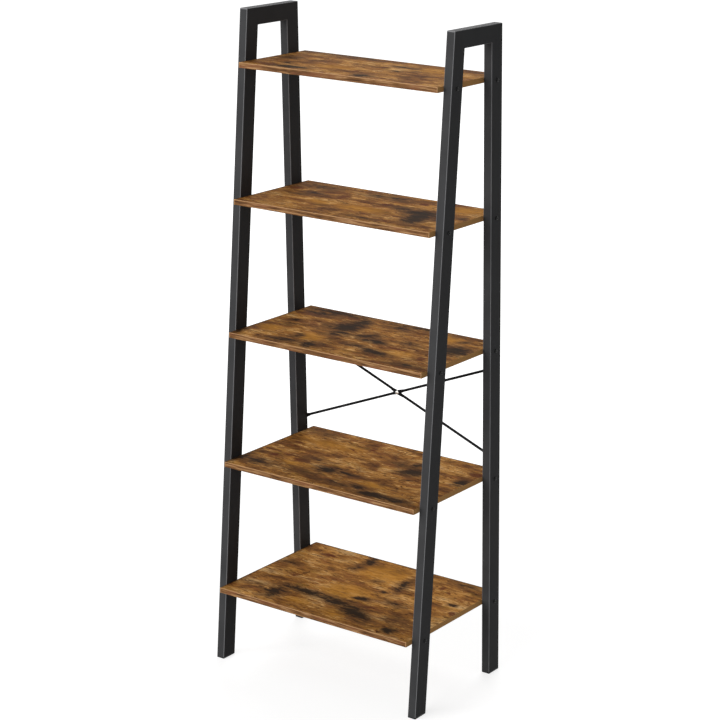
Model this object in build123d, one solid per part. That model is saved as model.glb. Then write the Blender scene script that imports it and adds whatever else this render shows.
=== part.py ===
from build123d import *
import os
from math import atan, cos, degrees, hypot, pi, sin, sqrt, tan

# A ladder shelf: two leaning side frames of steel tube, five boards bolted between them, a crossed brace
# behind and a levelling foot under each leg. Millimetres, with X across, Y to the back and Z up from
# the floor.

# Overall sizes
WIDTH = 600.0                # over the outer faces of the two side frames
HEIGHT = 1615.0              # floor to the top of the side frames
FRAME_DEPTH_TOP = 198.0      # over the outer faces of a frame's legs, at the top
FRAME_DEPTH_FLOOR = 373.0    # the same, at the floor

# Steel tube
TUBE_WIDTH = 22.0            # across X, in the legs and the top bars
LEG_DEPTH = 45.0             # wide side of the leg's tube, square to its length
TOP_BAR_HEIGHT = 42.0
TUBE_WALL = 1.2
TUBE_CORNER = 2.0            # outer corner radius
MITRE_ROUND = 3.6            # rounding of a frame's outer top corners, where the weld is ground smooth

# Boards, from the top one down, evenly spaced, each a little deeper than the frames are at its height
SHELVES = ("top_shelf", "second_shelf", "middle_shelf", "fourth_shelf", "bottom_shelf")
SHELF_THICKNESS = 13.0
SHELF_OVERHANG = 24.5        # a board's front or back edge past the legs' outer faces
TOP_SHELF_DROP = 122.0       # top of the frames down to the face of the top board
BOTTOM_SHELF_RISE = 197.0    # floor up to the face of the bottom board
EDGING = 0.8                 # thickness of the edge band along a board's front and back
EDGING_ARRIS = 0.4           # rounding of the band's long outer edges

# Connector bolts, through the legs into the ends of the boards
BOLT_DIAMETER = 5.0
BOLT_HEAD_DIAMETER = 9.5
BOLT_HEAD_HEIGHT = 2.75
BOLT_HEAD_SLOPE = 2.0        # how far the button head narrows to its top, on the radius
BOLT_REACH = 30.0            # how far a bolt goes into the end of its board
BORE_SPARE = 1.5             # bore past the bolt's tip

# Crossed brace behind the rear legs, between the middle and the fourth board
ROD_DIAMETER = 6.5
ROD_FLAT = 2.0               # thickness where a rod is pressed flat
PADDLE_WIDTH = 13.0
PADDLE_LENGTH = 10.0         # screw hole to the end of the flat
PADDLE_TAPER = 11.0          # from the flat to the full round
LAP_WIDTH = 11.0             # flat at the crossing
LAP_SPARE = 2.0              # flat past where the rods' edges cross
LAP_TAPER = 9.0
BRACE_LOW_RISE = 31.5        # face of the fourth board up to the lower screws
BRACE_HIGH_DROP = 42.5       # underside of the middle board down to the upper screws
SCREW_DIAMETER = 5.0
SCREW_HEAD_DIAMETER = 10.0
SCREW_HEAD_HEIGHT = 3.0
SCREW_HEAD_SLOPE = 1.5
SCREW_TAIL = 1.0             # how far a screw stands out of its nut
NUT_FLATS = 8.0
NUT_HEIGHT = 4.0

# Feet: a moulded plug in the end of each leg, with a screw foot that draws up into it
FOOT_GAP = 1.0               # plug's rim to the floor, with the foot screwed right in
PLUG_RIM_HEIGHT = 4.0        # rim below the end of the tube
PLUG_SPIGOT = 24.0           # spigot inside the tube
PLUG_RIM_WALL = 2.6          # rim beside the pad's recess
SPIGOT_CORNER = 0.8
PAD_THICKNESS = 5.0
PAD_FLOOR = 1.8              # pad below the foot of the stem
PAD_WALL = 2.0               # pad round the foot of the stem
PAD_EDGE = 0.6               # slope under the pad's rim
PAD_KEY_HOLE = 4.6           # way in for the key that turns the stem
STEM_DIAMETER = 6.0
STEM_LENGTH = 28.0
STEM_FOOT_HEIGHT = 1.6
STEM_SOCKET = 3.0            # across the flats of the socket for the key
STEM_SOCKET_DEPTH = 3.0

# Clearances
SHANK_CLEARANCE = 0.05       # a thread in its nut or bore, on the radius
HOLE_CLEARANCE = 0.25        # a shank through a plain hole, on the radius
SPIGOT_CLEARANCE = 0.15      # a plug in its tube, on each side
PAD_CLEARANCE = 0.4          # a pad in its recess, and the stem's foot in its pad, on the radius
FACE_CLEARANCE = 0.1         # between faces that turn or part

# Worked out from the sizes above
LEAN = (FRAME_DEPTH_FLOOR - FRAME_DEPTH_TOP) / 2 / HEIGHT
LEAN_ANGLE = atan(LEAN)
SHELF_LENGTH = WIDTH - 2 * TUBE_WIDTH
SHELF_PITCH = (HEIGHT - TOP_SHELF_DROP - BOTTOM_SHELF_RISE) / (len(SHELVES) - 1)
SHELF_FACES = {name: HEIGHT - TOP_SHELF_DROP - i * SHELF_PITCH for i, name in enumerate(SHELVES)}
LEG_X = WIDTH / 2 - TUBE_WIDTH / 2
TUBE_END = FOOT_GAP + PLUG_RIM_HEIGHT
SIDES = {"left": -1, "right": 1}
ENDS = {"front": -1, "rear": 1}


def leg_face(z):
    """How far a leg's outer face stands from the middle of the frame at height z."""
    return FRAME_DEPTH_FLOOR / 2 - LEAN * z


def leg_middle(z):
    """How far a leg's centre line stands from the middle of the frame at height z."""
    return leg_face(z) - LEG_DEPTH / 2 / cos(LEAN_ANGLE)


def shelf_depth(shelf):
    return 2 * (leg_face(SHELF_FACES[shelf]) + SHELF_OVERHANG)


def bolt_height(shelf):
    return SHELF_FACES[shelf] - SHELF_THICKNESS / 2


def disc(radius, low, high):
    """An upright cylinder on the Z axis between two heights."""
    return Pos(0, 0, low) * Cylinder(radius, high - low, align=(Align.CENTER, Align.CENTER, Align.MIN))


def hexagon(flats, low, high):
    """An upright hexagonal prism on the Z axis between two heights."""
    return Pos(0, 0, low) * extrude(RegularPolygon(flats / sqrt(3), 6), high - low)


def across(radius, x_from, x_to, y, z):
    """A cylinder along X."""
    middle = Pos((x_from + x_to) / 2, y, z) * Rot(0, 90, 0)
    return middle * Cylinder(radius, abs(x_to - x_from))


def level_slice(shape, low, high):
    """The part of a shape between two heights."""
    above = split(shape, bisect_by=Plane((0, 0, low)), keep=Keep.TOP)
    return split(above, bisect_by=Plane((0, 0, high)), keep=Keep.BOTTOM)


def leg_bar(side, end, section):
    """A leaning bar of the given section along the whole line of a leg, past both ends."""
    axis = Vector(0, -end * sin(LEAN_ANGLE), cos(LEAN_ANGLE))
    foot = Plane((side * LEG_X, end * leg_middle(0), 0), x_dir=(1, 0, 0), z_dir=axis)
    return foot * Pos(0, 0, -HEIGHT / 2) * extrude(section, 2 * HEIGHT)


def tube_section(depth):
    inner_corner = max(TUBE_CORNER - TUBE_WALL, TUBE_CORNER / 4)
    bore = RectangleRounded(TUBE_WIDTH - 2 * TUBE_WALL, depth - 2 * TUBE_WALL, inner_corner)
    return RectangleRounded(TUBE_WIDTH, depth, TUBE_CORNER) - bore


def mitre_plane(end):
    """The plane from the outer to the inner corner of a frame's top, facing the leg."""
    inner_z = HEIGHT - TOP_BAR_HEIGHT
    inner_y = leg_face(inner_z) - LEG_DEPTH / cos(LEAN_ANGLE)
    outer_y = leg_face(HEIGHT)
    facing_leg = Vector(0, end * TOP_BAR_HEIGHT, inner_y - outer_y)
    return Plane((0, end * outer_y, HEIGHT), x_dir=(1, 0, 0), z_dir=facing_leg)


def corner_waste(side, end):
    """What rounding off a frame's outer top corner takes away, never more than the tube's wall there."""
    radius = min(MITRE_ROUND, 3 * TUBE_WALL)
    reach = radius / tan(pi / 4 + LEAN_ANGLE / 2)
    corner = Vector(end * leg_face(HEIGHT), HEIGHT)
    on_bar = corner + Vector(-end * reach, 0)
    on_leg = corner + Vector(end * sin(LEAN_ANGLE), -cos(LEAN_ANGLE)) * reach
    centre = on_bar - Vector(0, radius)
    waste = make_face(Polyline(corner, on_bar, centre, on_leg, close=True))
    waste = waste - Pos(centre.X, centre.Y) * Circle(radius)
    return Plane.YZ.offset(side * LEG_X - TUBE_WIDTH) * extrude(waste, 2 * TUBE_WIDTH)


# Crossed brace: its flat frame lies on the rear faces of the rear legs, with the third axis to the back

BRACE_LOW = SHELF_FACES["fourth_shelf"] + BRACE_LOW_RISE
BRACE_HIGH = SHELF_FACES["middle_shelf"] - SHELF_THICKNESS - BRACE_HIGH_DROP
BRACE_MIDDLE = (BRACE_LOW + BRACE_HIGH) / 2
BRACE_RISE = (BRACE_HIGH - BRACE_LOW) / cos(LEAN_ANGLE)
BRACE_PLANE = Plane(
    (0, leg_face(BRACE_MIDDLE), BRACE_MIDDLE),
    x_dir=(-1, 0, 0),
    z_dir=(0, cos(LEAN_ANGLE), sin(LEAN_ANGLE)),
)
BRACE_CORNERS = [(x * LEG_X, y * BRACE_RISE / 2) for x in (-1, 1) for y in (-1, 1)]
ROD_HALF = hypot(LEG_X, BRACE_RISE / 2)
ROD_ANGLE = degrees(atan(BRACE_RISE / 2 / LEG_X))
ROD_AXIS = ROD_DIAMETER / 2  # height of a rod's axis over the legs' faces
LAP_HALF_LENGTH = ROD_DIAMETER * LEG_X / BRACE_RISE + LAP_SPARE


def headed_pin(radius, head_radius, head_height, slope, seat, tail):
    """A screw on the Z axis: a shank from the tail to the seat, then a head that narrows to its top."""
    shank = disc(radius, min(seat, tail), max(seat, tail))
    head = Cone(head_radius, head_radius - slope, head_height, align=(Align.CENTER, Align.CENTER, Align.MIN))
    if seat < tail:
        head = Rot(180, 0, 0) * head
    return shank + Pos(0, 0, seat) * head


def brace_screw(seat, tail):
    radius = SCREW_DIAMETER / 2 - SHANK_CLEARANCE
    return headed_pin(radius, SCREW_HEAD_DIAMETER / 2, SCREW_HEAD_HEIGHT, SCREW_HEAD_SLOPE, seat, tail)


def brace_nut(low):
    bore = disc(SCREW_DIAMETER / 2, low, low + NUT_HEIGHT)
    return hexagon(NUT_FLATS, low, low + NUT_HEIGHT) - bore


def flat_outline(radius, length):
    """Outline of a rod's pressed end: round about the screw, then tapering along X to the rod's width."""
    taper = [(0, radius), (0, -radius), (length, -ROD_DIAMETER / 2), (length, ROD_DIAMETER / 2)]
    return Circle(radius) + make_face(Polyline(*taper, close=True))


def pressed_end(flat_to, round_from, low, high):
    """A stretch of rod along X, pressed from its full round to a flat between two heights."""
    span = round_from - flat_to
    stretch = across(ROD_DIAMETER / 2, flat_to, round_from, 0, ROD_AXIS)
    over = Plane((flat_to, 0, high), x_dir=(0, 1, 0), z_dir=(high - ROD_DIAMETER, 0, span))
    under = Plane((flat_to, 0, low), x_dir=(0, 1, 0), z_dir=(low, 0, span))
    return split(split(stretch, bisect_by=over, keep=Keep.BOTTOM), bisect_by=under, keep=Keep.TOP)


def half_rod(lap_low):
    """A rod from its lap, on the Z axis, to the paddle at its end along X."""
    lap_to = LAP_HALF_LENGTH + LAP_TAPER
    paddle_to = PADDLE_LENGTH + PADDLE_TAPER
    hole = disc(SCREW_DIAMETER / 2 + HOLE_CLEARANCE, 0, ROD_DIAMETER)
    lap = Pos(0, 0, lap_low) * extrude(flat_outline(LAP_WIDTH / 2, lap_to), ROD_FLAT)
    lap = lap + pressed_end(LAP_HALF_LENGTH, lap_to, lap_low, lap_low + ROD_FLAT) - hole
    paddle = extrude(flat_outline(PADDLE_WIDTH / 2, paddle_to), ROD_FLAT)
    paddle = paddle + pressed_end(PADDLE_LENGTH, paddle_to, 0, ROD_FLAT) - hole
    shank = across(ROD_DIAMETER / 2, lap_to, ROD_HALF - paddle_to, 0, ROD_AXIS)
    return lap + shank + Pos(ROD_HALF, 0, 0) * Rot(0, 0, 180) * paddle


def brace_rod(lap_low):
    half = half_rod(lap_low)
    return half + Rot(0, 0, 180) * half


def make_brace():
    lap_seat = ROD_AXIS - ROD_FLAT
    nut_seat = ROD_AXIS + ROD_FLAT
    tail = nut_seat + NUT_HEIGHT + SCREW_TAIL
    weld_nut_low = -TUBE_WALL - NUT_HEIGHT
    end_screw = brace_screw(ROD_FLAT, weld_nut_low - SCREW_TAIL)
    corners = [BRACE_PLANE * Pos(x, y, 0) for x, y in BRACE_CORNERS]
    return {
        "brace_front_rod": BRACE_PLANE * Rot(0, 0, ROD_ANGLE) * brace_rod(lap_seat),
        "brace_rear_rod": BRACE_PLANE * Rot(0, 0, -ROD_ANGLE) * brace_rod(ROD_AXIS),
        "brace_centre_screw": BRACE_PLANE * brace_screw(lap_seat, tail),
        "brace_centre_nut": BRACE_PLANE * brace_nut(nut_seat),
        "brace_end_screws": Compound(children=[place * end_screw for place in corners]),
        "brace_weld_nuts": Compound(children=[place * brace_nut(weld_nut_low) for place in corners]),
    }


# Side frames


def make_leg(side, end):
    leg = leg_bar(side, end, tube_section(LEG_DEPTH))
    leg = split(leg, bisect_by=Plane((0, 0, TUBE_END)), keep=Keep.TOP)
    leg = split(leg, bisect_by=mitre_plane(end), keep=Keep.TOP) - corner_waste(side, end)
    for shelf in SHELVES:
        z = bolt_height(shelf)
        outer, inner = side * (WIDTH / 2 + 1), side * (WIDTH / 2 - TUBE_WIDTH - 1)
        leg = leg - across(BOLT_DIAMETER / 2 + HOLE_CLEARANCE, outer, inner, end * leg_middle(z), z)
    if end == ENDS["rear"]:
        hole = disc(SCREW_DIAMETER / 2 + HOLE_CLEARANCE, -2 * TUBE_WALL, TUBE_WALL)
        for x, y in BRACE_CORNERS:
            if -x * side > 0:
                leg = leg - BRACE_PLANE * Pos(x, y, 0) * hole
    return leg


def make_top_bar(side):
    start = (side * LEG_X, -HEIGHT / 2, HEIGHT - TOP_BAR_HEIGHT / 2)
    bar = Plane(start, x_dir=(1, 0, 0), z_dir=(0, 1, 0)) * extrude(tube_section(TOP_BAR_HEIGHT), HEIGHT)
    for end in ENDS.values():
        bar = split(bar, bisect_by=mitre_plane(end), keep=Keep.BOTTOM) - corner_waste(side, end)
    return bar


# Boards, their edge bands and their bolts


def end_places(shelf):
    """Where the bolts enter a board: side, and the bolt's place along Y."""
    middle = leg_middle(bolt_height(shelf))
    return [(side, end * middle) for side in SIDES.values() for end in ENDS.values()]


def make_board(shelf):
    z = bolt_height(shelf)
    board = Pos(0, 0, z) * Box(SHELF_LENGTH, shelf_depth(shelf) - 2 * EDGING, SHELF_THICKNESS)
    for side, y in end_places(shelf):
        mouth = side * (SHELF_LENGTH / 2 + 1)
        tip = side * (SHELF_LENGTH / 2 - BOLT_REACH - BORE_SPARE)
        board = board - across(BOLT_DIAMETER / 2, mouth, tip, y, z)
    return board


def make_edging(shelf):
    """The two strips along a board's front and back, with their long outer edges eased."""
    strips = []
    for end in ENDS.values():
        y = end * (shelf_depth(shelf) - EDGING) / 2
        strip = Pos(0, y, bolt_height(shelf)) * Box(SHELF_LENGTH, EDGING, SHELF_THICKNESS)
        outer = strip.faces().sort_by(Axis.Y)[-1 if end > 0 else 0]
        strips.append(fillet(outer.edges().filter_by(Axis.X), min(EDGING_ARRIS, EDGING / 2)))
    return Compound(children=strips)


def make_bolts():
    radius = BOLT_DIAMETER / 2 - SHANK_CLEARANCE
    tail = -TUBE_WIDTH - BOLT_REACH
    bolt = headed_pin(radius, BOLT_HEAD_DIAMETER / 2, BOLT_HEAD_HEIGHT, BOLT_HEAD_SLOPE, 0, tail)
    bolts = []
    for shelf in SHELVES:
        for side, y in end_places(shelf):
            bolts.append(Pos(side * WIDTH / 2, y, bolt_height(shelf)) * Rot(0, side * 90, 0) * bolt)
    return Compound(children=bolts)


# Feet, made on the Z axis and then set under their legs

RECESS_RADIUS = TUBE_WIDTH / 2 - PLUG_RIM_WALL
PAD_RADIUS = RECESS_RADIUS - PAD_CLEARANCE
STEM_FOOT_RADIUS = PAD_RADIUS - PAD_WALL - PAD_CLEARANCE
STEM_FOOT_LOW = PAD_FLOOR + FACE_CLEARANCE
PLUG_TOP = TUBE_END + PLUG_SPIGOT


def foot_place(side, end):
    return Pos(side * LEG_X, end * leg_middle(0), 0)


def make_plug(side, end):
    rim = leg_bar(side, end, RectangleRounded(TUBE_WIDTH, LEG_DEPTH, TUBE_CORNER))
    inset = 2 * (TUBE_WALL + SPIGOT_CLEARANCE)
    spigot = leg_bar(side, end, RectangleRounded(TUBE_WIDTH - inset, LEG_DEPTH - inset, SPIGOT_CORNER))
    plug = level_slice(rim, FOOT_GAP, TUBE_END) + level_slice(spigot, TUBE_END, PLUG_TOP)
    recess = disc(RECESS_RADIUS, 0, PAD_THICKNESS + FACE_CLEARANCE)
    thread = disc(STEM_DIAMETER / 2, 0, PLUG_TOP + 1)
    return plug - foot_place(side, end) * (recess + thread)


def foot_pad():
    """The plastic glide, snapped over the foot of the stem so that it can stay still as the stem turns."""
    pad = disc(PAD_RADIUS, 0, PAD_THICKNESS)
    pad = chamfer(pad.edges().filter_by(GeomType.CIRCLE).sort_by(Axis.Z)[0], PAD_EDGE)
    key_hole = disc(PAD_KEY_HOLE / 2, 0, PAD_FLOOR)
    pocket_top = STEM_FOOT_LOW + STEM_FOOT_HEIGHT + FACE_CLEARANCE
    pocket = disc(STEM_FOOT_RADIUS + PAD_CLEARANCE, PAD_FLOOR, pocket_top)
    neck = disc(STEM_DIAMETER / 2 + PAD_CLEARANCE, pocket_top, PAD_THICKNESS)
    return pad - key_hole - pocket - neck


def foot_stem():
    foot = disc(STEM_FOOT_RADIUS, STEM_FOOT_LOW, STEM_FOOT_LOW + STEM_FOOT_HEIGHT)
    shank = disc(STEM_DIAMETER / 2 - SHANK_CLEARANCE, STEM_FOOT_LOW, STEM_FOOT_LOW + STEM_LENGTH)
    return foot + shank - hexagon(STEM_SOCKET, STEM_FOOT_LOW, STEM_FOOT_LOW + STEM_SOCKET_DEPTH)


def make_parts():
    parts = {}
    for side_name, side in SIDES.items():
        for end_name, end in ENDS.items():
            corner = f"{side_name}_{end_name}"
            parts[f"{corner}_leg"] = make_leg(side, end)
            parts[f"{corner}_foot_plug"] = make_plug(side, end)
            parts[f"{corner}_foot_pad"] = foot_place(side, end) * foot_pad()
            parts[f"{corner}_foot_stem"] = foot_place(side, end) * foot_stem()
        parts[f"{side_name}_top_bar"] = make_top_bar(side)
    for shelf in SHELVES:
        parts[shelf] = make_board(shelf)
        parts[f"{shelf}_edging"] = make_edging(shelf)
    parts["shelf_bolts"] = make_bolts()
    parts.update(make_brace())
    return parts


os.makedirs("parts", exist_ok=True)
for name, shape in make_parts().items():
    shape.label = name
    export_step(shape, f"parts/{name}.step")
    print(name, len(shape.solids()), "solids", round(shape.volume, 1), "mm3")
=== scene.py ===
import math

import bpy
from mathutils import Matrix, Vector


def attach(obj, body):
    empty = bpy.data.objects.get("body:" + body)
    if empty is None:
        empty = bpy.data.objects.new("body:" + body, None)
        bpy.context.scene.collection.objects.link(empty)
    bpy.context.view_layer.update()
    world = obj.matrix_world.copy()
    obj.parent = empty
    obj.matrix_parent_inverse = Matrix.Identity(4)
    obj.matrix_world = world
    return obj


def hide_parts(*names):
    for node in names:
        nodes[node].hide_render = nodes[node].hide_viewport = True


# A ladder shelf: black powder-coated tube, rustic-brown laminate boards, a crossed rod brace and levelling
# feet. Metres throughout, with X across, Y to the back and Z up from the floor.

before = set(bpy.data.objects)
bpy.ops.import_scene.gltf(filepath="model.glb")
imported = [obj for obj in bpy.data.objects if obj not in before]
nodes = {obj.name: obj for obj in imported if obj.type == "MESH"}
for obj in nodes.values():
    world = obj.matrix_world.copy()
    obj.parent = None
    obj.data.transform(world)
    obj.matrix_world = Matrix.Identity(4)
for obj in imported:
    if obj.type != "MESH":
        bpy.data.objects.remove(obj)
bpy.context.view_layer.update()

MM = 0.001

# Places and sizes that the materials and the detailed fasteners share with the frame
OUTER_X = 300 * MM                       # the legs' outer sides from the middle
LEG_X = 289 * MM                         # the legs' centre lines from the middle
LEG_FACE = 186.5 * MM                    # a leg's front or rear face from the middle, at the floor
LEAN = 87.5 / 1615                       # how far a leg leans in, for its height
LEAN_ANGLE = math.atan(LEAN)
LEG_DEPTH = 45 * MM                      # of the tube, front to back
BOARDS = ("top_shelf", "second_shelf", "middle_shelf", "fourth_shelf", "bottom_shelf")
TOP_FACE = 1493 * MM                     # upper face of the top board
PITCH = 324 * MM                         # from a board down to the next
THICKNESS = 13 * MM                      # of a board
BOARD_HALF = 278 * MM                    # a board's ends from the middle
BOARD_OVERHANG = 24.5 * MM               # a board past the legs' faces, front and back
BRACE_LOW, BRACE_HIGH = 552.5 * MM, 789.5 * MM
SIDES = {"left": -1, "right": 1}
ENDS = {"front": -1, "rear": 1}


def leg_face(z):
    """How far the rear legs' rear faces, or the front legs' front faces, are from the middle at a height."""
    return LEG_FACE - LEAN * z


def leg_middle(z):
    """How far the legs' centre lines are from the middle, front to back, at a height."""
    return leg_face(z) - LEG_DEPTH / 2 / math.cos(LEAN_ANGLE)


def board_face(board):
    """The height of a board's upper face."""
    return TOP_FACE - BOARDS.index(board) * PITCH


# Materials


def colour(code):
    """A colour written as sRGB hex, as the linear RGBA that shaders take."""
    parts = [int(code[i:i + 2], 16) / 255 for i in (1, 3, 5)]
    return [p / 12.92 if p <= 0.04045 else ((p + 0.055) / 1.055) ** 2.4 for p in parts] + [1.0]


def add(tree, kind, sockets=(), stops=(), **settings):
    """Adds a node with its settings; a socket is set to a value, or linked where it is given an output."""
    item = tree.nodes.new("ShaderNode" + kind)
    for name, value in settings.items():
        setattr(item, name, value)
    for name, value in dict(sockets).items():
        if isinstance(value, bpy.types.NodeSocket):
            tree.links.new(value, item.inputs[name])
        else:
            item.inputs[name].default_value = value
    for i, (at, code) in enumerate(stops):
        stop = item.color_ramp.elements[i] if i < 2 else item.color_ramp.elements.new(at)
        stop.position, stop.color = at, colour(code)
    return item


def start_material(name):
    """A material of one principled shader, with the place on the piece that its patterns read."""
    material = bpy.data.materials.new(name)
    material.use_nodes = True
    tree = material.node_tree
    tree.nodes.clear()
    shader = add(tree, "BsdfPrincipled")
    add(tree, "OutputMaterial", {"Surface": shader.outputs["BSDF"]})
    place = add(tree, "TexCoord").outputs["Object"]
    return material, tree, shader, place


def streaks(tree, where, across_mm, detail, roughness=0.5):
    """Soft random marks of so many mm along X, Y and Z, as values about 0.5."""
    scale = [1 / (mm * MM) for mm in across_mm]
    scaled = add(tree, "Mapping", {"Vector": where, "Scale": scale}).outputs["Vector"]
    marks = {"Vector": scaled, "Scale": 1.0, "Detail": detail, "Roughness": roughness}
    return add(tree, "TexNoise", marks).outputs


def lay_over(tree, tint, over, value, none_at, full_at, strength=1.0):
    """A tint with another colour over it: none where a value is at one level, full strength at the other."""
    shown = {"Value": value, "From Min": none_at, "From Max": full_at, "To Max": strength}
    shown = add(tree, "MapRange", shown, interpolation_type="SMOOTHSTEP").outputs["Result"]
    return add(tree, "Mix", {0: shown, 6: tint, 7: over}, data_type="RGBA").outputs[2]


def powder_coat(name, dark, pale, arris):
    """Fine-textured matt black powder coat on steel: near black with hardly a sheen, a faint orange peel, and
    a painted highlight along a tube's rounded corners, drawn as a paler colour."""
    material, tree, shader, place = start_material(name)
    cloud = streaks(tree, place, (90, 90, 90), 3.0)["Fac"]
    # Grit of a fine-texture coat is about 0.3 mm; drawn at 1.2 mm so that it shows at all
    peel = streaks(tree, place, (1.2, 1.2, 1.2), 2.0)["Fac"]
    tint = add(tree, "ValToRGB", {"Fac": cloud}, stops=[(0.35, dark), (0.65, pale)]).outputs["Color"]
    if arris:
        # A corner is where the surface faces along no axis
        facing = add(tree, "TexCoord").outputs["Normal"]
        facing = add(tree, "VectorMath", {0: facing}, operation="ABSOLUTE").outputs[0]
        sides = add(tree, "SeparateXYZ", {"Vector": facing}).outputs
        nearest = add(tree, "Math", {0: sides["X"], 1: sides["Y"]}, operation="MAXIMUM").outputs[0]
        nearest = add(tree, "Math", {0: nearest, 1: sides["Z"]}, operation="MAXIMUM").outputs[0]
        # Painted highlight: the rounded corners are tinted paler, in place of the light they catch
        tint = lay_over(tree, tint, colour("#8f8f91"), nearest, 0.985, 0.88, arris)
    rough = {"Value": cloud, "From Min": 0.3, "From Max": 0.7, "To Min": 0.4, "To Max": 0.48}
    rough = add(tree, "MapRange", rough).outputs["Result"]
    bump = add(tree, "Bump", {"Height": peel, "Strength": 0.25, "Distance": 0.05 * MM}).outputs["Normal"]
    tree.links.new(tint, shader.inputs["Base Color"])
    tree.links.new(rough, shader.inputs["Roughness"])
    tree.links.new(bump, shader.inputs["Normal"])
    shader.inputs["Specular IOR Level"].default_value = 0.02
    return material


# What marks each board's print, read off the photograph: scorched patches, red-brown stains and golden
# places, each as (x, y, half its reach in X, half its reach in Y, turn in degrees, strength), in mm on the
# board's face
# The narrow scorches at x -271 and -272 on the second, middle and fourth boards sit where the left legs stand
# against the boards: they are painted shade of the legs
SCORCHES = {
    "top_shelf": [
        (-153, -106, 38, 15, 0, 0.95), (-188, -59, 16, 12, -45, 0.7), (-233, 14, 27, 22, 0, 0.6),
        (55, -105, 22, 18, 0, 0.9), (67, 59, 35, 11, 0, 0.65), (83, 0, 17, 11, 0, 0.7),
        (119, 20, 10, 8, 0, 0.5), (-165, 112, 95, 18, 0, 0.5), (-77, 116, 20, 11, 0, 0.7),
        (241, 104, 9, 9, 0, 0.6),
    ],
    "second_shelf": [
        (153, 9, 38, 25, 0, 1.0), (168, -28, 28, 28, 0, 0.95), (175, -59, 24, 32, 0, 0.95),
        (187, -80, 17, 17, 0, 0.7), (93, 23, 30, 17, 0, 0.7), (-208, 100, 56, 23, 0, 0.6),
        (-26, 105, 45, 22, 0, 0.6), (22, 106, 28, 19, 0, 0.6), (-173, 34, 27, 10, 0, 0.65),
        (-200, 0, 30, 10, 0, 0.45), (85, -121, 30, 6, 0, 0.55), (262, 17, 14, 12, 0, 0.6),
        (214, -43, 12, 10, 0, 0.6), (-272, 95, 8, 25, 0, 0.6),
    ],
    "middle_shelf": [
        (-83, 50, 30, 40, 0, 1.0), (-79, 111, 23, 27, 0, 0.85), (-65, 4, 34, 17, 0, 0.8),
        (-77, -19, 22, 11, 0, 0.75), (-119, 32, 25, 25, 0, 0.55), (7, 13, 22, 23, 0, 0.85),
        (19, -15, 14, 12, 0, 0.7), (50, -12, 22, 14, 0, 1.0), (27, -65, 28, 10, 0, 0.75),
        (90, -86, 44, 13, -12, 0.95), (-65, -131, 24, 20, 0, 0.9), (-134, -129, 34, 13, 0, 0.75),
        (-135, -87, 14, 16, 0, 0.75), (-224, 31, 15, 11, 0, 0.75), (-211, -5, 22, 14, 0, 0.5),
        (238, 36, 35, 31, 0, 1.0), (217, 115, 10, 15, 0, 0.6), (215, -133, 40, 15, 0, 0.65),
        (119, 25, 25, 16, 0, 0.6), (22, 125, 32, 18, 0, 0.7), (-172, 145, 85, 14, 0, 0.85),
        (-215, 120, 45, 25, 0, 0.7), (60, 150, 80, 14, 0, 0.7), (-271, -130, 10, 28, 0, 0.8),
    ],
    "fourth_shelf": [
        (135, 36, 36, 23, 20, 1.0), (115, 88, 13, 20, 0, 0.75), (75, 74, 14, 21, 0, 0.65),
        (-46, -78, 25, 17, 0, 1.0), (12, -71, 35, 9, 0, 0.75), (-33, -54, 15, 6, 0, 0.6),
        (-118, -34, 45, 20, 0, 0.4), (-105, -122, 45, 18, 0, 0.45), (-220, -127, 52, 21, 0, 0.7),
        (-271, -126, 10, 30, 0, 0.95), (42, -140, 60, 12, 0, 0.6), (84, -136, 24, 14, 0, 0.8),
        (152, -157, 52, 14, 0, 0.95), (207, -158, 36, 14, 0, 0.8), (149, -20, 7, 5, 0, 0.8),
        (263, 42, 15, 19, 0, 0.95), (122, -84, 9, 8, 0, 0.6), (-213, 148, 42, 20, 0, 0.5),
    ],
    "bottom_shelf": [
        (-83, 168, 14, 22, 0, 0.9), (-87, 120, 16, 20, 0, 0.6), (78, 85, 15, 46, 8, 0.75),
        (7, 70, 14, 10, 0, 0.6), (57, 22, 10, 6, 0, 0.85), (44, -45, 20, 9, 10, 0.9),
        (127, -26, 27, 16, 0, 0.55), (240, 57, 11, 9, 0, 0.85), (202, 180, 35, 14, 0, 0.6),
        (-243, 44, 25, 14, 0, 0.6), (-83, -90, 70, 14, 0, 0.85), (-158, -136, 24, 32, 0, 0.85),
        (5, -97, 38, 17, 0, 0.9), (80, -127, 52, 22, -24, 1.0), (210, -170, 15, 11, 0, 1.0),
        (189, -113, 50, 25, 0, 0.4), (-225, -124, 50, 20, 0, 0.4),
    ],
}
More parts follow.
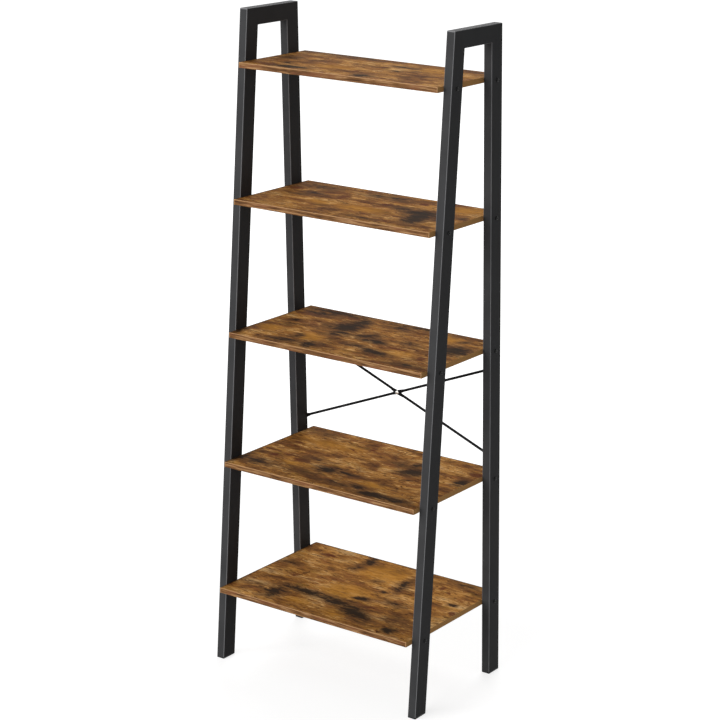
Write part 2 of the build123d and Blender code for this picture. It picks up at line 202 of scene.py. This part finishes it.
STAINS = {
    "top_shelf": [
        (-201, -100, 25, 16, 0, 0.7), (24, 34, 12, 9, 0, 0.8), (195, -66, 10, 9, 0, 1.0),
        (187, -74, 28, 16, 0, 0.5), (5, -58, 7, 14, 0, 0.7), (121, -108, 32, 10, 0, 0.7),
        (189, -110, 25, 10, 0, 0.6), (-45, -122, 12, 8, 0, 0.7),
    ],
    "second_shelf": [
        (40, 36, 15, 9, -60, 1.0), (105, 94, 13, 11, 0, 1.0), (-245, 59, 24, 17, 0, 0.95),
        (-89, 38, 15, 30, 0, 0.75), (-5, 24, 40, 15, 0, 0.45), (135, -58, 23, 9, 0, 0.85),
        (131, -113, 23, 22, 0, 0.65), (54, -80, 34, 15, 0, 0.55), (-168, -51, 20, 8, 0, 0.6),
    ],
    "middle_shelf": [
        (-230, 100, 46, 22, 0, 0.8), (-117, 124, 30, 12, 0, 0.8), (124, -32, 24, 6, 0, 1.0),
        (60, 42, 46, 18, 0, 0.4), (215, -68, 12, 14, 0, 0.8), (-160, 55, 40, 24, 0, 0.4),
    ],
    "fourth_shelf": [
        (-137, -59, 27, 9, 0, 1.0), (-176, -36, 25, 13, 0, 0.7), (-212, -63, 12, 14, 0, 0.8),
        (264, 113, 17, 14, 0, 1.0), (-44, 114, 7, 13, 0, 0.8), (-85, 84, 12, 6, -30, 0.8),
        (-231, 49, 20, 6, 0, 0.7), (25, 35, 17, 12, 0, 0.45), (-11, -28, 60, 9, 0, 0.45),
    ],
    "bottom_shelf": [
        (-193, 145, 23, 12, 0, 0.9), (-187, -16, 19, 16, 0, 0.7), (165, 132, 10, 9, 0, 0.9),
        (192, 117, 9, 6, 0, 0.8), (269, 10, 9, 10, 0, 0.9), (79, -83, 26, 10, 0, 0.6),
        (44, -10, 8, 5, 0, 0.7), (-250, -42, 26, 32, 0, 0.4),
    ],
}
GOLDS = {
    "top_shelf": [(150, 60, 60, 30, 0, 0.7), (-60, -40, 60, 25, 0, 0.7)],
    "second_shelf": [(10, -42, 60, 22, 0, 1.0), (-110, -42, 40, 18, 0, 0.8), (225, 95, 40, 30, 0, 0.9)],
    "middle_shelf": [
        (-231, -63, 24, 20, 0, 1.0), (-99, -74, 28, 24, 0, 1.0), (150, -60, 40, 22, 0, 0.7),
        (170, 110, 36, 25, 0, 0.7),
    ],
    "fourth_shelf": [(-150, 85, 90, 25, 0, 0.7), (-145, -87, 23, 12, 0, 0.9), (105, -100, 40, 20, 0, 0.7)],
    "bottom_shelf": [
        (-15, -33, 60, 40, 0, 0.9), (0, 120, 60, 50, 0, 0.9), (42, -163, 32, 15, 0, 0.8),
        (-78, -150, 32, 15, 0, 0.8),
    ],
}
# How strongly each board is smudged with brown all over
SMUDGES = {
    "top_shelf": 0.5, "second_shelf": 0.8, "middle_shelf": 1.0, "fourth_shelf": 0.65, "bottom_shelf": 0.15,
}
# How far each board's ground leans from brown towards straw
PALENESS = {
    "top_shelf": 0.0, "second_shelf": -0.005, "middle_shelf": -0.015, "fourth_shelf": 0.0,
    "bottom_shelf": 0.036,
}


def patches(tree, where, board, marks):
    """The strongest of a board's oval marks at each place, 1 in a full mark's middle and 0 outside."""
    strongest = 0.0
    for x, y, length, width, turn, strength in marks:
        oval = {
            "Vector": where,
            "Location": (x * MM, y * MM, board_face(board)),
            "Rotation": (0, 0, math.radians(turn)),
            "Scale": (2 * length * MM, 2 * width * MM, 40 * MM),
        }
        local = add(tree, "Mapping", oval, vector_type="TEXTURE").outputs["Vector"]
        mark = add(tree, "TexGradient", {"Vector": local}, gradient_type="SPHERICAL").outputs["Fac"]
        scaled = add(tree, "Math", {0: mark, 1: strength}, operation="MULTIPLY").outputs[0]
        strongest = add(tree, "Math", {0: strongest, 1: scaled}, operation="MAXIMUM").outputs[0]
    return strongest


def rustic_laminate(board):
    """Printed rustic-oak laminate under a matt wear layer: amber grain, red-brown stains and scorches."""
    material, tree, shader, place = start_material("rustic_oak_laminate_" + board)

    # The print wanders: every mark is read at a place pushed about by a slow noise
    wander = streaks(tree, place, (60, 30, 20), 4.0, 0.62)["Color"]
    centred = add(tree, "VectorMath", {0: wander, 1: (0.5, 0.5, 0.5)}, operation="SUBTRACT").outputs[0]
    pushed = {0: centred, 1: (44 * MM, 26 * MM, 0), 2: place}
    drawn = add(tree, "VectorMath", pushed, operation="MULTIPLY_ADD").outputs[0]

    # Ground of the print, from brown through amber to straw, clouded with olive, russet and brown
    ground = streaks(tree, drawn, (110, 44, 13), 7.0, 0.67)["Fac"]
    tones = [(0.35, "#5a371b"), (0.44, "#885a2d"), (0.51, "#a87336"), (0.59, "#c08a48"), (0.68, "#d4a970")]
    tones = [(at - PALENESS[board], code) for at, code in tones]
    tint = add(tree, "ValToRGB", {"Fac": ground}, stops=tones).outputs["Color"]
    olive = streaks(tree, drawn, (60, 26, 13), 3.0)["Fac"]
    tint = lay_over(tree, tint, colour("#776026"), olive, 0.55, 0.75, 0.45)
    russet = streaks(tree, drawn, (75, 28, 17), 6.0, 0.68)["Fac"]
    tint = lay_over(tree, tint, colour("#824b2a"), russet, 0.5, 0.68, 0.6)
    smudge = streaks(tree, drawn, (40, 19, 9), 6.0, 0.7)["Fac"]
    tint = lay_over(tree, tint, colour("#55351b"), smudge, 0.54, 0.72, SMUDGES[board])

    # Open grain runs along the board: fine dark lines a few millimetres apart, pale flecks on the barer
    # ground, and short dark dashes
    grain = streaks(tree, drawn, (70, 2.6, 9), 4.0, 0.65)["Fac"]
    lines = [(0.32, "#75655a"), (0.5, "#ffffff"), (0.7, "#ffffff")]
    lines = add(tree, "ValToRGB", {"Fac": grain}, stops=lines).outputs["Color"]
    tint = add(tree, "Mix", {0: 0.8, 6: tint, 7: lines}, data_type="RGBA", blend_type="MULTIPLY").outputs[2]
    bare = {"Value": ground, "From Min": 0.42, "From Max": 0.57, "To Max": 0.95}
    bare = add(tree, "MapRange", bare, interpolation_type="SMOOTHSTEP").outputs["Result"]
    fleck = streaks(tree, drawn, (34, 4, 7), 3.0)["Fac"]
    tint = lay_over(tree, tint, colour("#e2b272"), fleck, 0.55, 0.65, bare)
    dash = streaks(tree, drawn, (22, 4.5, 6), 3.0)["Fac"]
    tint = lay_over(tree, tint, colour("#3d2010"), dash, 0.57, 0.65, 0.85)

    # Where the print is smoothest it is plain gold
    gold = patches(tree, drawn, board, GOLDS[board])
    tint = lay_over(tree, tint, colour("#ba802f"), gold, 0.1, 0.7, 0.65)

    # Stains and scorches have ragged edges, streaked along the grain; a scorch is brown round a black middle
    ragged = streaks(tree, drawn, (30, 8, 8), 6.0, 0.72)["Fac"]
    torn = add(tree, "Math", {0: ragged, 1: 0.5}, operation="SUBTRACT").outputs[0]
    stain = {0: torn, 1: 1.4, 2: patches(tree, drawn, board, STAINS[board])}
    stain = add(tree, "Math", stain, operation="MULTIPLY_ADD").outputs[0]
    tint = lay_over(tree, tint, colour("#572817"), stain, 0.22, 0.62, 0.85)
    scorch = {0: torn, 1: 1.7, 2: patches(tree, drawn, board, SCORCHES[board])}
    scorch = add(tree, "Math", scorch, operation="MULTIPLY_ADD").outputs[0]
    tint = lay_over(tree, tint, colour("#5c4029"), scorch, -0.1, 0.35, 0.6)
    burnt = [(0.3, "#4a2d18"), (0.55, "#342316"), (0.8, "#241a12")]
    burnt = add(tree, "ValToRGB", {"Fac": scorch}, stops=burnt).outputs["Color"]
    tint = lay_over(tree, tint, burnt, scorch, 0.25, 0.65, 0.95)

    # A dark line of painted shade runs along the left end and the back, on the board's far arrises
    sides = add(tree, "SeparateXYZ", {"Vector": place}).outputs
    leftward = add(tree, "Math", {0: -BOARD_HALF, 1: sides["X"]}, operation="SUBTRACT").outputs[0]
    back = leg_face(board_face(board)) + BOARD_OVERHANG
    backward = add(tree, "Math", {0: sides["Y"], 1: back}, operation="SUBTRACT").outputs[0]
    far_edge_shade_reach = add(tree, "Math", {0: leftward, 1: backward}, operation="MAXIMUM").outputs[0]
    tint = lay_over(tree, tint, colour("#3b281a"), far_edge_shade_reach, -5.5 * MM, -1.5 * MM, 0.75)

    # The board's end faces are painted lighter than its face: painted light, standing in for light the ends
    # get too little of
    reach = add(tree, "Math", {0: sides["X"]}, operation="ABSOLUTE").outputs[0]
    tint = lay_over(tree, tint, colour("#cf9c62"), reach, BOARD_HALF - 0.06 * MM, BOARD_HALF - 0.04 * MM)

    rough = {"Value": grain, "From Min": 0.3, "From Max": 0.7, "To Min": 0.78, "To Max": 0.66}
    rough = add(tree, "MapRange", rough).outputs["Result"]
    bump = add(tree, "Bump", {"Height": grain, "Strength": 0.3, "Distance": 0.12 * MM}).outputs["Normal"]
    tree.links.new(tint, shader.inputs["Base Color"])
    tree.links.new(rough, shader.inputs["Roughness"])
    tree.links.new(bump, shader.inputs["Normal"])
    shader.inputs["Specular IOR Level"].default_value = 0.02
    return material


def edge_band():
    """ABS edge band printed as oak: plainer than the face, streaked lengthways, with painted highlights and
    shade on its arrises.
    """
    material, tree, shader, place = start_material("oak_edge_band")
    streak = streaks(tree, place, (50, 20, 4), 4.0, 0.6)["Fac"]
    tones = [(0.34, "#452b19"), (0.5, "#77522f"), (0.66, "#a88058")]
    tint = add(tree, "ValToRGB", {"Fac": streak}, stops=tones).outputs["Color"]
    russet = streaks(tree, place, (45, 20, 9), 3.0)["Fac"]
    tint = lay_over(tree, tint, colour("#7a4c33"), russet, 0.5, 0.68, 0.6)

    # The top arris has a painted highlight along the front and painted shade along the back
    sides = add(tree, "SeparateXYZ", {"Vector": place}).outputs
    front = add(tree, "Math", {0: sides["Y"], 1: 0.0}, operation="LESS_THAN").outputs[0]
    arris_highlight_and_shade = {0: front, 6: colour("#4a3220"), 7: colour("#c09569")}
    arris_highlight_and_shade = add(tree, "Mix", arris_highlight_and_shade, data_type="RGBA").outputs[2]
    below = add(tree, "Math", {0: TOP_FACE + 0.2 * MM, 1: sides["Z"]}, operation="SUBTRACT").outputs[0]
    below = add(tree, "Math", {0: below, 1: PITCH}, operation="MODULO").outputs[0]
    tint = lay_over(tree, tint, arris_highlight_and_shade, below, 2.2 * MM, 0.9 * MM, 0.8)

    # The upright corners at its ends get a painted highlight too
    reach = add(tree, "Math", {0: sides["X"]}, operation="ABSOLUTE").outputs[0]
    tint = lay_over(tree, tint, colour("#c79c70"), reach, BOARD_HALF - 2.2 * MM, BOARD_HALF - 0.6 * MM, 0.7)

    bump = add(tree, "Bump", {"Height": streak, "Strength": 0.2, "Distance": 0.1 * MM}).outputs["Normal"]
    tree.links.new(tint, shader.inputs["Base Color"])
    tree.links.new(bump, shader.inputs["Normal"])
    shader.inputs["Roughness"].default_value = 0.55
    shader.inputs["Specular IOR Level"].default_value = 0.08
    return material


def plated_screw(name, pale, dark, roughness, metallic, specular, mark_mm):
    """A plated steel fastener: even plate with faint cloudy patches, which break up its highlights."""
    material, tree, shader, place = start_material(name)
    cloud = streaks(tree, place, (mark_mm, mark_mm, mark_mm), 3.0)["Fac"]
    tint = add(tree, "ValToRGB", {"Fac": cloud}, stops=[(0.35, dark), (0.65, pale)]).outputs["Color"]
    rough = {"Value": cloud, "From Min": 0.3, "From Max": 0.7}
    rough.update({"To Min": roughness + 0.06, "To Max": roughness - 0.06})
    rough = add(tree, "MapRange", rough).outputs["Result"]
    tree.links.new(tint, shader.inputs["Base Color"])
    tree.links.new(rough, shader.inputs["Roughness"])
    shader.inputs["Metallic"].default_value = metallic
    shader.inputs["Specular IOR Level"].default_value = specular
    return material


def moulded_plastic():
    """Black polypropylene, moulded in a finely eroded tool: an even dull black with a soft sheen."""
    material, tree, shader, place = start_material("black_polypropylene")
    # Tool grain is about 0.2 mm; drawn at 0.8 mm so that it shows
    grain = streaks(tree, place, (0.8, 0.8, 0.8), 2.0)["Fac"]
    tint = add(tree, "ValToRGB", {"Fac": grain}, stops=[(0.3, "#161617"), (0.7, "#1e1e1f")]).outputs["Color"]
    bump = add(tree, "Bump", {"Height": grain, "Strength": 0.3, "Distance": 0.04 * MM}).outputs["Normal"]
    tree.links.new(tint, shader.inputs["Base Color"])
    tree.links.new(bump, shader.inputs["Normal"])
    shader.inputs["Roughness"].default_value = 0.55
    shader.inputs["Specular IOR Level"].default_value = 0.25
    return material


tube_coat = powder_coat("powder_coated_tube", dark="#3b3b3c", pale="#424243", arris=0.8)
rod_coat = powder_coat("powder_coated_rod", dark="#1c1c1d", pale="#252526", arris=0.0)
band = edge_band()
plastic = moulded_plastic()
black_plate = plated_screw(
    "black_zinc_plated_steel", pale="#1b1b1c", dark="#111112",
    roughness=0.16, metallic=0.0, specular=0.12, mark_mm=3,
)
nickel = plated_screw(
    "nickel_plated_steel", pale="#eceae6", dark="#dedbd5",
    roughness=0.26, metallic=1.0, specular=0.5, mark_mm=2,
)
zinc = plated_screw(
    "zinc_plated_steel", pale="#c3c6c9", dark="#a9adb1",
    roughness=0.36, metallic=1.0, specular=0.5, mark_mm=2,
)


def finish_node(name, material):
    """Gives a solid of the frame its material."""
    for material_slot in nodes[name].material_slots:
        material_slot.material = material


for side in SIDES:
    finish_node(side + "_top_bar", tube_coat)
    for end in ENDS:
        finish_node(f"{side}_{end}_leg", tube_coat)
        finish_node(f"{side}_{end}_foot_plug", plastic)
        finish_node(f"{side}_{end}_foot_pad", plastic)
for board in BOARDS:
    finish_node(board, rustic_laminate(board))
    finish_node(board + "_edging", band)
for rod in ("brace_front_rod", "brace_rear_rod"):
    finish_node(rod, rod_coat)
finish_node("brace_weld_nuts", zinc)


# Detailed fasteners and stems, in place of their plain solids

CLOSE = 0.01 * MM                        # places nearer than this are the same
SPARE = 1 * MM                           # how far a cutting tool runs past what it cuts
TIP_CHAMFER = 0.6 * MM                   # on the end of a screw's shank


def put_down():
    """Leaves edit mode, with nothing selected."""
    if bpy.context.object:
        bpy.ops.object.mode_set(mode="OBJECT")
    bpy.ops.object.select_all(action="DESELECT")


def choose(piece, kind, test):
    """In edit mode, selects only what passes a test: faces by centre and normal, or edges by both ends."""
    bpy.ops.object.mode_set(mode="EDIT")
    bpy.ops.mesh.select_mode(type=kind)
    bpy.ops.mesh.select_all(action="DESELECT")
    bpy.ops.object.mode_set(mode="OBJECT")
    mesh = piece.data
    if kind == "FACE":
        for face in mesh.polygons:
            face.select = test(face.center, face.normal)
    else:
        for edge in mesh.edges:
            edge.select = all(test(mesh.vertices[i].co) for i in edge.vertices)
    bpy.ops.object.mode_set(mode="EDIT")


def round_bar(vertices, radius, low, high):
    """An upright bar on the Z axis, as a new object, the only one selected."""
    put_down()
    bpy.ops.mesh.primitive_cylinder_add(
        vertices=vertices, radius=radius, depth=high - low, location=(0, 0, (low + high) / 2)
    )
    bpy.ops.object.transform_apply(location=True, rotation=True, scale=True)
    return bpy.context.object


def combine(piece, tool, operation):
    """Cuts, joins or trims a piece with a tool, which is then removed."""
    put_down()
    bpy.context.view_layer.objects.active = piece
    piece.select_set(True)
    cut = piece.modifiers.new("cut", "BOOLEAN")
    cut.operation, cut.object, cut.solver = operation, tool, "EXACT"
    bpy.ops.object.modifier_apply(modifier=cut.name)
    bpy.data.objects.remove(tool)


def headed_screw(head_radius, head_height, dome, shank_radius, length):
    """A screw along Z, its head standing on Z 0 with a rounded rim and its shank going down."""
    screw = round_bar(40, head_radius, 0, head_height)
    choose(screw, "EDGE", lambda p: p.z > head_height - CLOSE)
    bpy.ops.mesh.bevel(offset=dome, segments=7, affect="EDGES")
    choose(screw, "FACE", lambda centre, normal: normal.z < -0.9)
    bpy.ops.mesh.inset(thickness=head_radius - shank_radius)
    bpy.ops.mesh.extrude_region_move(TRANSFORM_OT_translate={"value": (0, 0, -length)})
    choose(screw, "EDGE", lambda p: p.z < -length + CLOSE)
    bpy.ops.mesh.bevel(offset=TIP_CHAMFER, segments=1, affect="EDGES")
    bpy.ops.object.mode_set(mode="OBJECT")
    return screw


def hex_socket(screw, flats, top, depth):
    """A socket for a hex key, sunk into a head from its top."""
    socket = round_bar(6, flats / math.sqrt(3), top - depth, top + SPARE)
    combine(screw, socket, "DIFFERENCE")


def cross_recess(screw, span, width, top, depth):
    """A cross-head recess, each of its two slots narrowing to the bottom."""
    for turn in (0, 90):
        put_down()
        bpy.ops.mesh.primitive_cube_add(size=1, location=(0, 0, top + (SPARE - depth) / 2))
        slot = bpy.context.object
        slot.scale = (span, width, depth + SPARE)
        slot.rotation_euler = (0, 0, math.radians(turn))
        bpy.ops.object.transform_apply(location=True, rotation=True, scale=True)
        choose(slot, "FACE", lambda centre, normal: normal.z < -0.9)
        bpy.ops.transform.resize(value=(0.55, 0.55, 1))
        combine(screw, slot, "DIFFERENCE")


def hex_nut(flats, low, high, bore):
    """A nut along Z with its corners turned off: a little all the way up, and more at both faces."""
    corner = flats / math.sqrt(3)
    nut = round_bar(6, corner, low - SPARE, high + SPARE)
    turned = round_bar(50, corner - 0.05 * MM, low, high)
    for face in (low, high):
        choose(turned, "EDGE", lambda p: abs(p.z - face) < CLOSE)
        bpy.ops.mesh.bevel(offset=0.55 * MM, segments=3, affect="EDGES")
    combine(nut, turned, "INTERSECT")
    combine(nut, round_bar(40, bore, low - SPARE, high + SPARE), "DIFFERENCE")
    return nut


def thread(minor, major, pitch, low, turns):
    """A helical ridge of a screw thread round the Z axis, its root sunk a little into the core."""
    put_down()
    bpy.ops.mesh.primitive_circle_add(
        vertices=3, radius=pitch / 2, fill_type="NOTHING", rotation=(math.pi / 2, 0, 0)
    )
    ridge = bpy.context.object
    bpy.ops.object.transform_apply(location=True, rotation=True, scale=True)
    root = minor - 0.1 * MM
    # The ridge's section, as radius and share of the pitch
    section = [(root, 0.06), (root, 0.94), (major, 0.5)]
    for vertex, (radius, share) in zip(ridge.data.vertices, section):
        vertex.co = (radius, 0, low + share * pitch)
    coil = ridge.modifiers.new("coil", "SCREW")
    coil.axis, coil.screw_offset, coil.iterations = "Z", pitch, turns
    coil.steps = coil.render_steps = 28
    bpy.ops.object.modifier_apply(modifier=coil.name)
    bpy.ops.object.mode_set(mode="EDIT")
    bpy.ops.mesh.select_all(action="SELECT")
    bpy.ops.mesh.remove_doubles(threshold=0.001 * MM)
    bpy.ops.mesh.fill_holes(sides=3)
    bpy.ops.mesh.normals_make_consistent(inside=False)
    bpy.ops.object.mode_set(mode="OBJECT")
    return ridge


def join(pieces, name):
    """Makes one named piece of several."""
    put_down()
    for piece in pieces:
        piece.select_set(True)
    bpy.context.view_layer.objects.active = pieces[0]
    if len(pieces) > 1:
        bpy.ops.object.join()
    pieces[0].name = name
    return pieces[0]


def copy_at(model, place):
    """A copy of a model with a mesh of its own, and its place in that mesh."""
    copy = model.copy()
    copy.data = model.data.copy()
    bpy.context.scene.collection.objects.link(copy)
    copy.data.transform(place)
    return copy


def set_out(model, places, name):
    """Copies a model to each place, as one piece, and removes the model."""
    piece = join([copy_at(model, place) for place in places], name)
    bpy.data.objects.remove(model)
    return piece


def hand_over(piece, node, body, material):
    """Smooths a finished piece, gives it its material and lets it stand for a node on its body."""
    put_down()
    piece.select_set(True)
    bpy.context.view_layer.objects.active = piece
    bpy.ops.object.shade_smooth_by_angle(angle=math.radians(32))
    piece.data.materials.clear()
    piece.data.materials.append(material)
    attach(piece, body)
    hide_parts(node)


def frame_at(origin, x_dir, z_dir):
    """The matrix that sets a model's origin, X and Z at a place."""
    z = Vector(z_dir).normalized()
    x = Vector(x_dir).normalized()
    y = z.cross(x)
    turned = Matrix((x, y, z)).transposed().to_4x4()
    return Matrix.Translation(origin) @ turned


# Button-head connector bolts with a hex socket, four to a board
BOLT_HEAD_HEIGHT = 2.75 * MM
bolt = headed_screw(
    head_radius=4.75 * MM, head_height=BOLT_HEAD_HEIGHT, dome=2.2 * MM, shank_radius=2.45 * MM, length=52 * MM
)
hex_socket(bolt, flats=3.2 * MM, top=BOLT_HEAD_HEIGHT, depth=1.7 * MM)
bolt_places = []
for board in BOARDS:
    height = board_face(board) - THICKNESS / 2
    for side in SIDES.values():
        for end in ENDS.values():
            head = (side * OUTER_X, end * leg_middle(height), height)
            bolt_places.append(frame_at(head, (0, 0, 1), (side, 0, 0)))
bolts = set_out(bolt, bolt_places, "button_head_bolts")
hand_over(bolts, "shelf_bolts", "frame", black_plate)


def pan_head_screw(length):
    """A cross-head screw of the kind that holds the brace."""
    head_height = 3 * MM
    screw = headed_screw(
        head_radius=5 * MM, head_height=head_height, dome=2.3 * MM, shank_radius=2.45 * MM, length=length
    )
    cross_recess(screw, span=5.4 * MM, width=1.2 * MM, top=head_height, depth=1.8 * MM)
    return screw


# The brace's screws, in the plane of the rear legs' rear faces: Z out of that plane, Y up along the legs
brace_middle = (BRACE_LOW + BRACE_HIGH) / 2
brace_half_rise = (BRACE_HIGH - BRACE_LOW) / 2 / math.cos(LEAN_ANGLE)
backward = (0, math.cos(LEAN_ANGLE), math.sin(LEAN_ANGLE))
brace = frame_at((0, leg_face(brace_middle), brace_middle), (-1, 0, 0), backward)
FORWARD = Matrix.Rotation(math.pi, 4, "X")

# One from the front through the rods' crossing, with a nut behind
lap_seat = Matrix.Translation((0, 0, 1.25 * MM))
centre_screw = set_out(pan_head_screw(9 * MM), [brace @ lap_seat @ FORWARD], "brace_cross_screw")
hand_over(centre_screw, "brace_centre_screw", "frame", nickel)

centre_nut = hex_nut(flats=8 * MM, low=5.25 * MM, high=9.25 * MM, bore=2.5 * MM)
centre_nut = set_out(centre_nut, [brace @ Matrix.Rotation(math.pi / 6, 4, "Z")], "brace_hex_nut")
hand_over(centre_nut, "brace_centre_nut", "frame", nickel)

# One from the back through each flattened rod end into its leg
end_seat = 2 * MM
corners = [(x * LEG_X, y * brace_half_rise, end_seat) for x in (-1, 1) for y in (-1, 1)]
corners = [brace @ Matrix.Translation(corner) for corner in corners]
end_screws = set_out(pan_head_screw(8.2 * MM), corners, "brace_pan_head_screws")
hand_over(end_screws, "brace_end_screws", "frame", black_plate)

# Levelling stems: a round foot with a key socket below, and a 1 mm pitch thread above
STEM_FOOT_RADIUS = 5.6 * MM
STEM_FOOT_LOW, STEM_FOOT_HIGH, STEM_TOP = 1.9 * MM, 3.5 * MM, 29.9 * MM
STEM_FOOT_EDGE = 0.4 * MM
STEM_CORE = 2.48 * MM
STEM_CHAMFER = 0.5 * MM
KEY_FLATS, KEY_DEPTH = 3 * MM, 3 * MM


def levelling_stem():
    """A levelling stem on the Z axis, with the floor at Z 0."""
    stem = round_bar(40, STEM_FOOT_RADIUS, STEM_FOOT_LOW, STEM_FOOT_HIGH)
    choose(stem, "EDGE", lambda p: p.z > STEM_FOOT_HIGH - CLOSE)
    bpy.ops.mesh.bevel(offset=STEM_FOOT_EDGE, segments=2, affect="EDGES")
    choose(stem, "FACE", lambda centre, normal: normal.z > 0.99)
    bpy.ops.mesh.inset(thickness=STEM_FOOT_RADIUS - STEM_FOOT_EDGE - STEM_CORE)
    bpy.ops.mesh.extrude_region_move(TRANSFORM_OT_translate={"value": (0, 0, STEM_TOP - STEM_FOOT_HIGH)})
    choose(stem, "EDGE", lambda p: p.z > STEM_TOP - CLOSE)
    bpy.ops.mesh.bevel(offset=STEM_CHAMFER, segments=1, affect="EDGES")
    key = round_bar(6, KEY_FLATS / math.sqrt(3), STEM_FOOT_LOW - SPARE, STEM_FOOT_LOW + KEY_DEPTH)
    combine(stem, key, "DIFFERENCE")
    ridge = thread(minor=STEM_CORE, major=2.94 * MM, pitch=1 * MM, low=3.7 * MM, turns=25)
    return join([stem, ridge], "levelling_stem")


stem_model = levelling_stem()
for side_name, side in SIDES.items():
    for end_name, end in ENDS.items():
        leg = f"{side_name}_{end_name}"
        under_leg = Matrix.Translation((side * LEG_X, end * leg_middle(0), 0))
        stem = join([copy_at(stem_model, under_leg)], leg + "_threaded_stem")
        hand_over(stem, leg + "_foot_stem", leg + "_stem", zinc)
bpy.data.objects.remove(stem_model)


# Floor, light and camera

SHELF_MIDDLE = Vector((0, 0, 0.8))


def straight_rays(tree):
    """1 for what the camera sees, directly, reflected or through glass, and 0 for light on a surface."""
    ray = add(tree, "LightPath").outputs
    seen = {0: ray["Is Camera Ray"], 1: ray["Is Glossy Ray"]}
    seen = {0: add(tree, "Math", seen, operation="MAXIMUM").outputs[0], 1: ray["Is Transmission Ray"]}
    return add(tree, "Math", seen, operation="MAXIMUM").outputs[0]


def stage_floor():
    """A pale floor that reads as white paper to the camera and in reflections, and keeps a soft shadow."""
    put_down()
    bpy.ops.mesh.primitive_plane_add(size=120, location=(0, 0, 0))
    floor = bpy.context.object
    floor.name = "studio_floor"
    material = bpy.data.materials.new("white_paper_floor")
    material.use_nodes = True
    tree = material.node_tree
    tree.nodes.clear()
    # Away from the shelf the paper is plain white, as a sweep behind it would be
    middle = add(tree, "TexCoord").outputs["Object"]
    away = add(tree, "VectorMath", {0: middle}, operation="LENGTH").outputs["Value"]
    level = {"Value": away, "From Min": 0.9, "From Max": 2.4, "To Min": 0.76, "To Max": 1.0}
    level = add(tree, "MapRange", level, interpolation_type="SMOOTHSTEP").outputs["Result"]
    strength = add(tree, "Math", {0: straight_rays(tree), 1: level}, operation="MULTIPLY").outputs[0]
    glow = add(tree, "Emission", {"Color": colour("#ffffff"), "Strength": strength}).outputs["Emission"]
    paper = add(tree, "BsdfDiffuse", {"Color": colour("#a8a8a8")}).outputs["BSDF"]
    both = add(tree, "AddShader", {0: glow, 1: paper}).outputs["Shader"]
    add(tree, "OutputMaterial", {"Surface": both})
    floor.data.materials.append(material)


def studio_world():
    """White to the camera and in reflections, and a low even fill as light."""
    world = bpy.data.worlds.new("studio")
    bpy.context.scene.world = world
    world.use_nodes = True
    tree = world.node_tree
    tree.nodes.clear()
    fill = {"Value": straight_rays(tree), "To Min": 0.27, "To Max": 1.0}
    strength = add(tree, "MapRange", fill).outputs["Result"]
    sky = add(tree, "Background", {"Color": colour("#ffffff"), "Strength": strength}).outputs["Background"]
    add(tree, "OutputWorld", {"Surface": sky})


def softbox(name, azimuth, elevation, distance, size, level):
    """A square area lamp aimed at the shelf's middle; level 1 lights a white face square to it to white."""
    a, e = math.radians(azimuth), math.radians(elevation)
    towards = Vector((math.sin(a) * math.cos(e), -math.cos(a) * math.cos(e), math.sin(e)))
    lamp = bpy.data.lights.new(name, "AREA")
    lamp.size = size
    lamp.energy = level * (math.pi * distance) ** 2
    holder = bpy.data.objects.new(name, lamp)
    bpy.context.scene.collection.objects.link(holder)
    holder.location = SHELF_MIDDLE + towards * distance
    holder.rotation_mode = "QUATERNION"
    holder.rotation_quaternion = (-towards).to_track_quat("-Z", "Y")


def place_camera():
    """The photograph's view, found by fitting the shelf's edges: a long lens, held above the top board."""
    stand = Matrix.Translation((2.9232, -4.1833, 2.2687))
    azimuth, elevation, roll = (math.radians(degrees) for degrees in (35.019, 16.173, 1.016))
    level = math.cos(elevation)
    back = Vector((math.sin(azimuth) * level, -math.cos(azimuth) * level, math.sin(elevation)))
    right = Vector((math.cos(azimuth), math.sin(azimuth), 0))
    up = back.cross(right)
    x = right * math.cos(roll) + up * math.sin(roll)
    y = up * math.cos(roll) - right * math.sin(roll)
    data = bpy.data.cameras.new("camera")
    data.sensor_width = 36
    data.lens = 110.54
    data.clip_end = 200
    camera = bpy.data.objects.new("camera", data)
    bpy.context.scene.collection.objects.link(camera)
    camera.matrix_world = stand @ Matrix((x, y, back)).transposed().to_4x4()
    bpy.context.scene.camera = camera


stage_floor()
studio_world()
softbox("key", azimuth=-15, elevation=20, distance=9, size=8.0, level=1.1)
softbox("rear", azimuth=205, elevation=42, distance=9, size=5.0, level=0.55)
place_camera()
bpy.context.scene.view_settings.view_transform = "Standard"
